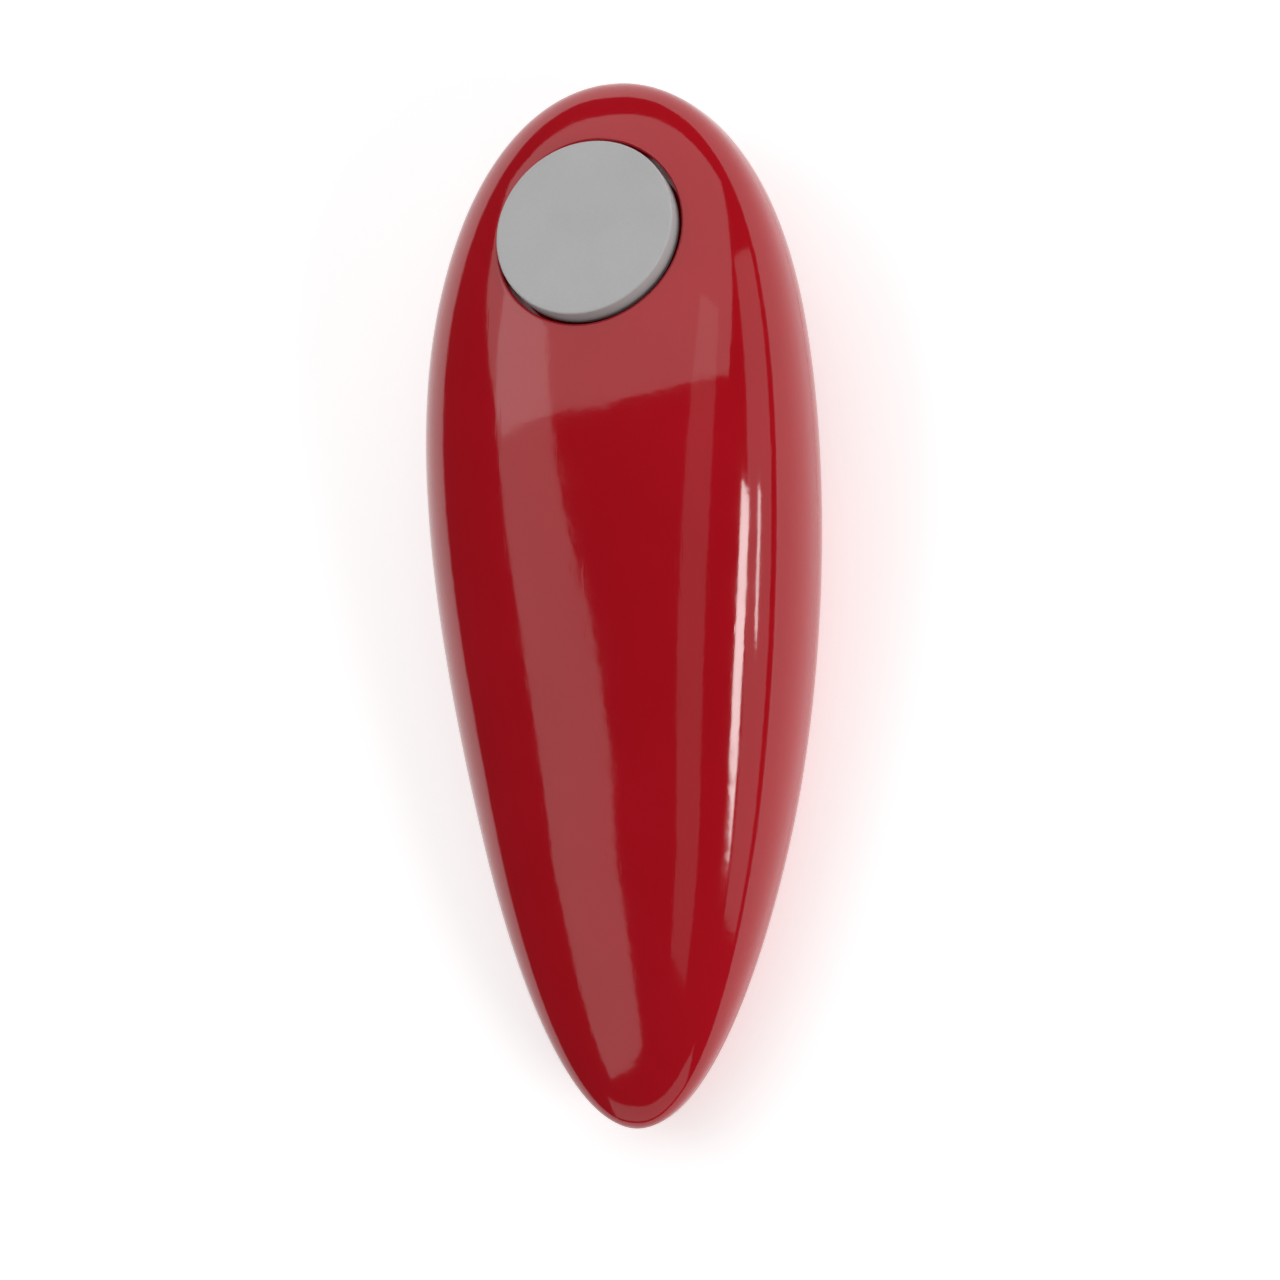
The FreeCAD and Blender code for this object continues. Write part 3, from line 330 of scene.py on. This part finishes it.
def lower_section(s):
    """Points of the underside's cross-section, from the right seam to the left one."""
    u = s / LENGTH
    y = LENGTH / 2 - s
    wide, drop, seam = half_width(u), bottom_drop(u), seam_level(s)
    floor = floor_level(y)
    share = min(max((seam - floor) / max(drop, 1e-6), 0.0), 1.0)
    crease = min(math.asin(share ** (SECTION_POWER / 2)), math.radians(65))
    right = []
    for step in range(FLANK_STEPS + 1):
        turn = crease * step / FLANK_STEPS
        x = wide * math.cos(turn) ** (2 / SECTION_POWER)
        z = seam - drop * math.sin(turn) ** (2 / SECTION_POWER)
        right.append((x, y, soft_max(z, floor) if step else seam))
    edge = right[-1][0]
    middle = []
    for step in range(1, FLOOR_STEPS):
        x = edge - 2 * edge * step / FLOOR_STEPS
        inside = (1 - min(abs(x) / max(wide, 1e-6), 1.0) ** SECTION_POWER) ** (1 / SECTION_POWER)
        middle.append((x, y, soft_max(seam - drop * inside, floor)))
    left = [(-x, y, z) for x, y, z in reversed(right)]
    return right + middle + left


def lower_shell(name):
    sections = [lower_section(s) for s in station_list()]
    columns = len(sections[0])
    vertices = [point for section in sections for point in section]
    faces = grid_faces(len(sections), columns, False)
    faces.append(tuple(range(columns)))
    faces.append(tuple(range((len(sections) - 1) * columns, len(sections) * columns)))
    shell = new_object(name, vertices, faces)
    outward(shell)
    thicken(shell, WALL)
    return shell


CASE_SCREWS = [(-21.0, 54.0, HEAD_FLOOR), (21.0, 54.0, HEAD_FLOOR), (-15.5, 8.0, 0.0), (15.5, 8.0, 0.0)]


def make_bottom_housing():
    housing = lower_shell("housing_skin")
    ledge = [(-17.8, 28.0), (17.8, 28.0), (17.8, 66.1), (11.15, 73.2), (-11.15, 73.2), (-17.8, 66.1)]
    window = [(-16.8, 29.6), (16.8, 29.6), (16.8, 65.4), (10.3, 71.95), (-10.3, 71.95), (-16.8, 65.4)]
    reach = DOOR_HALF_WIDTH + DOOR_GAP
    door = box_outline(-reach, reach, -95, DOOR_FRONT + DOOR_GAP)
    cutters = [
        extrusion("cut_ledge", ledge, 11.65, 16),
        extrusion("cut_window", window, 6, 16),
        extrusion("cut_door", door, -3, DOOR_TOP + DOOR_GAP),
    ]
    for x, y, level in CASE_SCREWS:
        cutters.append(extrusion("cut_screw", ring_outline(2.55, x, y), level - 2, level + 1.9))
    carve(housing, cutters)
    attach(housing, "housing")
    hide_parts("bottom_housing")
    return housing


def make_battery_cover():
    door = lower_shell("battery_cover_skin")
    outline = box_outline(-DOOR_HALF_WIDTH, DOOR_HALF_WIDTH, -90, DOOR_FRONT)
    carve(door, [extrusion("keep_door", outline, -3, DOOR_TOP)], "INTERSECT")
    grips = []
    for y in GRIP_STARTS:
        grips.append(extrusion("cut_grip", box_outline(-6, 6, y, y + GRIP_WIDTH), -2, GRIP_DEPTH))
    carve(door, grips)
    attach(door, "battery_door")
    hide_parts("battery_cover")
    return door


WIDEST_HALF = 32.7
LIP_INSET = 1.6
LIP_LEVELS = (-1.5, 1.6)
LIP_THICKNESS = 0.8


def make_seam_lip():
    """Inner rim that closes the joint line between the shells."""
    rows = []
    count = 240
    for rise in LIP_LEVELS:
        row = []
        for index in range(count):
            x, y = outline_point(2 * math.pi * (index + 0.5) / count)
            narrower = 1 - LIP_INSET / WIDEST_HALF
            shorter = 1 - LIP_INSET / (LENGTH / 2)
            row.append((x * narrower, y * shorter, seam_level(LENGTH / 2 - y) + rise))
        rows.append(row)
    vertices = rows[0] + rows[1]
    lip = new_object("seam_lip", vertices, grid_faces(2, count, True))
    outward(lip)
    thicken(lip, LIP_THICKNESS)
    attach(lip, "housing")
    return lip


# ------------------------------------------------------------------ start button

def make_button():
    """Flat round cap with a small rounded rim, its skirt and the hidden stem and hooks."""
    rounding = 0.32
    profile = [(0.05, 0.0), (BUTTON_RADIUS * 0.5, 0.0), (BUTTON_RADIUS - 1.2, 0.0)]
    for step in range(6):
        turn = math.pi / 2 * step / 5
        profile.append((
            BUTTON_RADIUS - rounding + rounding * math.sin(turn),
            -rounding + rounding * math.cos(turn),
        ))
    profile += [(BUTTON_RADIUS, -3.7), (BUTTON_RADIUS - 0.2, -3.9), (BUTTON_RADIUS - 1.3, -3.9)]
    profile += [(BUTTON_RADIUS - 1.5, -3.7), (BUTTON_RADIUS - 1.5, -1.8), (0.05, -1.8)]
    vertices, faces = lathe(profile[::-1], 160)
    button = new_object("button_cap", [tuple(BUTTON_FRAME @ Vector(v)) for v in vertices], faces, 40)
    outward(button)
    smooth(button, 40)
    legs = [extrusion("button_stem", ring_outline(1.6, 9.0, -7.5, 24), -7.9, -1.75)]
    for side in (-1, 1):
        x_pair = sorted((side * 11.5, side * 13.5))
        barb = sorted((side * 11.5, side * 14.0))
        legs.append(extrusion(f"button_hook_{side + 1}", box_outline(*x_pair, 0.5, 4.5), -8.9, -1.75))
        legs.append(extrusion(f"button_barb_{side + 1}", box_outline(*barb, 0.55, 4.45), -8.85, -7.55))
    for leg in legs:
        leg.data.transform(Matrix.Scale(MM, 4) @ BUTTON_FRAME @ Matrix.Scale(1 / MM, 4))
        leg.parent = button
    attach(button, "button")
    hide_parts("start_button")
    return [button] + legs


# ------------------------------------------------------------------ springs

MAGNET_FRAME = Matrix.Translation((12.0, 60.5, 0.0))
# node, coil radius, lower end, upper end, turns, wire radius, frame, joint, fixed end, share left
SPRINGS = [
    ("button_spring", 3.6, -5.9, -1.9, 3, 0.35, BUTTON_FRAME, "button_press", -5.9, 0.5),
    ("magnet_spring", 2.3, 6.1, 17.1, 6, 0.3, MAGNET_FRAME, "magnet_lift", 17.1, 0.79),
]


def make_spring(node, radius, low, high, turns, wire, place, joint, fixed, keep):
    """Round-wire coil from its lower to its upper end."""
    steps, sides = turns * 28, 10
    run = high - low - 2 * wire
    vertices = []
    for step in range(steps + 1):
        angle = 2 * math.pi * turns * step / steps
        level = low + wire + run * step / steps
        outward_way = Vector((math.cos(angle), math.sin(angle), 0.0))
        climb = run / (2 * math.pi * turns * radius)
        forward = Vector((-math.sin(angle), math.cos(angle), climb)).normalized()
        upward = outward_way.cross(forward)
        for side in range(sides):
            turn = 2 * math.pi * side / sides
            offset = (outward_way * math.cos(turn) + upward * math.sin(turn)) * wire
            vertices.append(tuple(place @ (outward_way * radius + Vector((0, 0, level)) + offset)))
    faces = grid_faces(steps + 1, sides, True)
    faces.append(tuple(range(sides)))
    faces.append(tuple(range(steps * sides, (steps + 1) * sides)))
    spring = new_object(f"{node}_coil", vertices, faces, 50)
    outward(spring)
    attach(spring, "housing")
    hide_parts(node)
    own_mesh(spring)
    return spring


# ------------------------------------------------------------------ materials

class Nodes:
    """Small helper that wires up one material's node tree."""

    def __init__(self, name):
        self.material = bpy.data.materials.new(name)
        self.material.use_nodes = True
        self.tree = self.material.node_tree
        self.shader = self.tree.nodes["Principled BSDF"]
        self.place = self.tree.nodes.new("ShaderNodeTexCoord").outputs["Object"]

    def link(self, source, target):
        self.tree.links.new(source, target)

    def noise(self, scale, detail=3.0, roughness=0.55):
        node = self.tree.nodes.new("ShaderNodeTexNoise")
        node.inputs["Scale"].default_value = scale
        node.inputs["Detail"].default_value = detail
        node.inputs["Roughness"].default_value = roughness
        self.link(self.place, node.inputs["Vector"])
        return node.outputs["Fac"]

    def stretched_noise(self, scale, stretch, detail=2.0):
        mapping = self.tree.nodes.new("ShaderNodeMapping")
        mapping.inputs["Scale"].default_value = stretch
        self.link(self.place, mapping.inputs["Vector"])
        node = self.tree.nodes.new("ShaderNodeTexNoise")
        node.inputs["Scale"].default_value = scale
        node.inputs["Detail"].default_value = detail
        self.link(mapping.outputs["Vector"], node.inputs["Vector"])
        return node.outputs["Fac"]

    def span(self, source, low, high, start=0.3, end=0.7):
        """Map a noise value to a number between low and high."""
        node = self.tree.nodes.new("ShaderNodeMapRange")
        node.inputs["From Min"].default_value = start
        node.inputs["From Max"].default_value = end
        node.inputs["To Min"].default_value = low
        node.inputs["To Max"].default_value = high
        self.link(source, node.inputs["Value"])
        return node.outputs["Result"]

    def blend(self, source, first, second):
        node = self.tree.nodes.new("ShaderNodeMix")
        node.data_type = "RGBA"
        node.inputs["A"].default_value = (*first, 1)
        node.inputs["B"].default_value = (*second, 1)
        self.link(source, node.inputs["Factor"])
        return node.outputs["Result"]

    def bump(self, height, strength, distance, below=None):
        node = self.tree.nodes.new("ShaderNodeBump")
        node.inputs["Strength"].default_value = strength
        node.inputs["Distance"].default_value = distance
        self.link(height, node.inputs["Height"])
        if below is not None:
            self.link(below, node.inputs["Normal"])
        return node.outputs["Normal"]

    def painted_edge_highlight(self):
        """Mask for the painted edge highlight, high on the convex edges of a mesh."""
        node = self.tree.nodes.new("ShaderNodeNewGeometry")
        return self.span(node.outputs["Pointiness"], 0.0, 1.0, 0.52, 0.62)


def red_gloss():
    """Moulded glossy red plastic with a faint ripple, hairline scratches and dust."""
    nodes = Nodes("red_gloss")
    shader = nodes.shader
    shader.inputs["IOR"].default_value = 1.5
    shader.inputs["Coat Weight"].default_value = 0.2
    shader.inputs["Coat Roughness"].default_value = 0.04
    cloud = nodes.span(nodes.noise(45.0), 0.0, 1.0)
    colour = nodes.blend(cloud, (0.42, 0.0022, 0.009), (0.455, 0.0032, 0.0115))
    nodes.link(colour, shader.inputs["Base Color"])
    haze = nodes.span(nodes.noise(160.0, 4.0), 0.055, 0.10)
    nodes.link(haze, shader.inputs["Roughness"])
    ripple = nodes.bump(nodes.noise(260.0, 2.0), 0.05, 0.0004)
    scratch = nodes.stretched_noise(900.0, (1.0, 0.06, 1.0), 1.0)
    lines = nodes.span(scratch, 0.0, 1.0, 0.66, 0.72)
    nodes.link(nodes.bump(lines, 0.03, 0.00008, ripple), shader.inputs["Normal"])
    return nodes.material


GRAIN_SCALE = 2600.0
GRAIN_DEPTH = 0.00006
GRAIN_STRENGTH = 0.35


def grained_plastic(name, dark, light, rough=(0.5, 0.62)):
    """Moulded plastic with a spark-eroded grain."""
    nodes = Nodes(name)
    shader = nodes.shader
    speck = nodes.noise(GRAIN_SCALE, 2.0)
    cloud = nodes.noise(90.0, 3.0)
    mixed = nodes.tree.nodes.new("ShaderNodeMath")
    mixed.operation = "MULTIPLY_ADD"
    nodes.link(speck, mixed.inputs[0])
    mixed.inputs[1].default_value = 0.6
    nodes.link(nodes.span(cloud, 0.0, 0.4), mixed.inputs[2])
    nodes.link(nodes.blend(mixed.outputs[0], dark, light), shader.inputs["Base Color"])
    nodes.link(nodes.span(cloud, *rough), shader.inputs["Roughness"])
    nodes.link(nodes.bump(speck, GRAIN_STRENGTH, GRAIN_DEPTH), shader.inputs["Normal"])
    return nodes.material


TOOL_MARK_SCALE = 700.0


def worked_metal(name, colour, rough, stretch=(1.0, 12.0, 1.0)):
    """Metal with tool marks, slight staining and a painted highlight on its convex edges."""
    nodes = Nodes(name)
    shader = nodes.shader
    shader.inputs["Metallic"].default_value = 1.0
    stain = nodes.span(nodes.noise(180.0, 4.0), 0.0, 1.0)
    darker = tuple(channel * 0.72 for channel in colour)
    tone = nodes.blend(stain, darker, colour)
    # The convex edges get a painted highlight, a brighter copy of the metal's colour.
    edge_highlight_colour = tuple(min(channel * 1.35, 1.0) for channel in colour)
    mix = nodes.tree.nodes.new("ShaderNodeMix")
    mix.data_type = "RGBA"
    nodes.link(nodes.painted_edge_highlight(), mix.inputs["Factor"])
    nodes.link(tone, mix.inputs["A"])
    mix.inputs["B"].default_value = (*edge_highlight_colour, 1)
    nodes.link(mix.outputs["Result"], shader.inputs["Base Color"])
    marks = nodes.stretched_noise(TOOL_MARK_SCALE, stretch, 3.0)
    nodes.link(nodes.span(marks, *rough), shader.inputs["Roughness"])
    nodes.link(nodes.bump(marks, 0.12, 0.00004), shader.inputs["Normal"])
    return nodes.material


def cell_sleeve():
    """Plain dark blue battery sleeve."""
    nodes = Nodes("cell_sleeve")
    shader = nodes.shader
    shader.inputs["Metallic"].default_value = 0.5
    cloud = nodes.span(nodes.noise(120.0), 0.0, 1.0)
    nodes.link(nodes.blend(cloud, (0.05, 0.07, 0.11), (0.07, 0.09, 0.14)), shader.inputs["Base Color"])
    nodes.link(nodes.span(nodes.noise(300.0), 0.25, 0.38), shader.inputs["Roughness"])
    nodes.link(nodes.bump(nodes.noise(800.0), 0.05, 0.00005), shader.inputs["Normal"])
    return nodes.material


def slot_materials():
    """One finish for every material slot of the record."""
    soft = (0.35, 0.45)
    plastics = {
        "grey_button": ((0.45, 0.45, 0.45), (0.53, 0.53, 0.53), (0.42, 0.5)),
        "black_nylon": ((0.012, 0.012, 0.013), (0.03, 0.03, 0.032)),
        "white_nylon": ((0.62, 0.6, 0.54), (0.74, 0.72, 0.66), (0.4, 0.5)),
        "cutter_gear_nylon": ((0.03, 0.03, 0.032), (0.06, 0.06, 0.064)),
        "motor_cap_plastic": ((0.7, 0.7, 0.66), (0.8, 0.8, 0.77)),
        "plunger_plastic": ((0.6, 0.5, 0.3), (0.68, 0.58, 0.38)),
        "wire_red": ((0.4, 0.01, 0.01), (0.48, 0.02, 0.02), soft),
        "wire_yellow": ((0.6, 0.4, 0.02), (0.68, 0.48, 0.04), soft),
        "wire_black": ((0.008, 0.008, 0.008), (0.02, 0.02, 0.02), soft),
    }
    metals = {
        "plate_steel": ((0.56, 0.56, 0.57), (0.28, 0.45)),
        "screw_steel": ((0.62, 0.61, 0.6), (0.2, 0.34)),
        "bush_bronze": ((0.55, 0.36, 0.15), (0.3, 0.45)),
        "hardened_steel": ((0.5, 0.5, 0.52), (0.16, 0.3), (1, 1, 14)),
        "motor_steel": ((0.55, 0.55, 0.54), (0.25, 0.4), (1, 1, 10)),
        "armature_iron": ((0.28, 0.2, 0.14), (0.4, 0.6)),
        "pinion_brass": ((0.7, 0.5, 0.2), (0.2, 0.35)),
        "contact_metal": ((0.68, 0.67, 0.63), (0.15, 0.28)),
        "spring_steel": ((0.6, 0.6, 0.6), (0.18, 0.3)),
        "magnet_nickel": ((0.66, 0.64, 0.6), (0.08, 0.2)),
    }
    finishes = {"red_shell": red_gloss(), "cell_sleeve": cell_sleeve()}
    for name, look in plastics.items():
        finishes[name] = grained_plastic(name, *look)
    for name, look in metals.items():
        finishes[name] = worked_metal(name, *look)
    return finishes


def finish_materials(new_pieces):
    """Give every shown node and new piece the finish of its slot."""
    finishes = slot_materials()
    slot_of = {row["node"]: row["material_slot"] for row in frame["record"]["subparts"]}
    for node, obj in frame["nodes"].items():
        obj.data.materials.clear()
        obj.data.materials.append(finishes[slot_of[node]])
        smooth(obj, 32)
    for piece, slot in new_pieces:
        piece.data.materials.clear()
        piece.data.materials.append(finishes[slot])


# ------------------------------------------------------------------ floor, lights and camera

CAMERA_TURN = math.radians(21)
CAMERA_DISTANCE = 0.6
AIM = Vector((0.0, 0.0, 0.018))
FRAME_WIDTH = 0.20769
CAMERA_SHIFT = (0.01336, -0.02414)
WORLD_STRENGTH = 0.06
FLOOR_LEVEL = -0.05
FLOOR_REACH = 3000
FLOOR_GLOW = 0.42
# name, direction from the object, distance, length along Y or X by height in metres, radiance
PANELS = [
    ("panel_left", (-0.55, -0.1, 0.81), 1.2, (2.0, 0.42), 1.0),
    ("panel_head", (-0.08, 0.64, 0.77), 1.2, (2.6, 1.5), 1.05),
    ("panel_tail", (0.0, -1.0, 0.3), 1.3, (1.5, 0.5), 0.7),
    ("panel_right", (0.94, 0.0, 0.34), 1.3, (1.8, 0.6), 0.8),
    ("panel_above", (0.36, -0.1, 0.92), 1.2, (1.6, 0.3), 0.4),
    ("panel_window_a", (0.76, -0.3, 0.58), 1.2, (0.5, 0.15), 12.0),
    ("panel_window_b", (0.86, -0.2, 0.34), 1.2, (0.3, 0.06), 9.0),
]


def add_area(name, direction, distance, size, radiance):
    """Soft panel that faces the object from the given direction."""
    data = bpy.data.lights.new(name, "AREA")
    data.shape = "RECTANGLE"
    data.size, data.size_y = size
    data.energy = math.pi * size[0] * size[1] * radiance
    lamp = bpy.data.objects.new(name, data)
    bpy.context.scene.collection.objects.link(lamp)
    lamp.location = AIM + Vector(direction).normalized() * distance
    lamp.rotation_mode = "QUATERNION"
    lamp.rotation_quaternion = (AIM - lamp.location).to_track_quat("-Z", "Y")
    return lamp


def make_stage():
    corners = box_outline(-FLOOR_REACH, FLOOR_REACH, -FLOOR_REACH, FLOOR_REACH)
    floor = new_object("floor", [(x, y, FLOOR_LEVEL) for x, y in corners], [(0, 1, 2, 3)])
    nodes = Nodes("floor")
    tone = nodes.blend(nodes.noise(6.0), (0.93, 0.93, 0.93), (0.95, 0.95, 0.95))
    nodes.link(tone, nodes.shader.inputs["Base Color"])
    nodes.shader.inputs["Roughness"].default_value = 0.9
    nodes.shader.inputs["Specular IOR Level"].default_value = 0.0
    nodes.shader.inputs["Emission Color"].default_value = (1, 1, 1, 1)
    nodes.shader.inputs["Emission Strength"].default_value = FLOOR_GLOW
    floor.data.materials.append(nodes.material)
    world = bpy.data.worlds.new("studio")
    world.use_nodes = True
    world.node_tree.nodes["Background"].inputs["Color"].default_value = (1, 1, 1, 1)
    world.node_tree.nodes["Background"].inputs["Strength"].default_value = WORLD_STRENGTH
    bpy.context.scene.world = world
    bpy.context.scene.view_settings.view_transform = "Standard"
    for panel in PANELS:
        add_area(*panel)


def make_camera():
    data = bpy.data.cameras.new("camera")
    camera = bpy.data.objects.new("camera", data)
    bpy.context.scene.collection.objects.link(camera)
    towards = Vector((math.sin(CAMERA_TURN), 0.0, math.cos(CAMERA_TURN)))
    camera.location = AIM + towards * CAMERA_DISTANCE
    across = Vector((0.0, 1.0, 0.0)).cross(towards)
    camera.matrix_world = Matrix((
        (across.x, 0.0, towards.x, camera.location.x),
        (across.y, 1.0, towards.y, camera.location.y),
        (across.z, 0.0, towards.z, camera.location.z),
        (0.0, 0.0, 0.0, 1.0),
    ))
    data.sensor_width = 36.0
    data.lens = data.sensor_width * CAMERA_DISTANCE / FRAME_WIDTH
    data.shift_x, data.shift_y = CAMERA_SHIFT
    bpy.context.scene.camera = camera


# ------------------------------------------------------------------ build

pieces = [
    (make_top_cover(), "red_shell"),
    (make_bottom_housing(), "red_shell"),
    (make_battery_cover(), "red_shell"),
    (make_seam_lip(), "red_shell"),
]
pieces += [(piece, "grey_button") for piece in make_button()]
pieces += [(make_spring(*spring), "spring_steel") for spring in SPRINGS]
finish_materials(pieces)
make_stage()
make_camera()

bpy.context.view_layer.update()
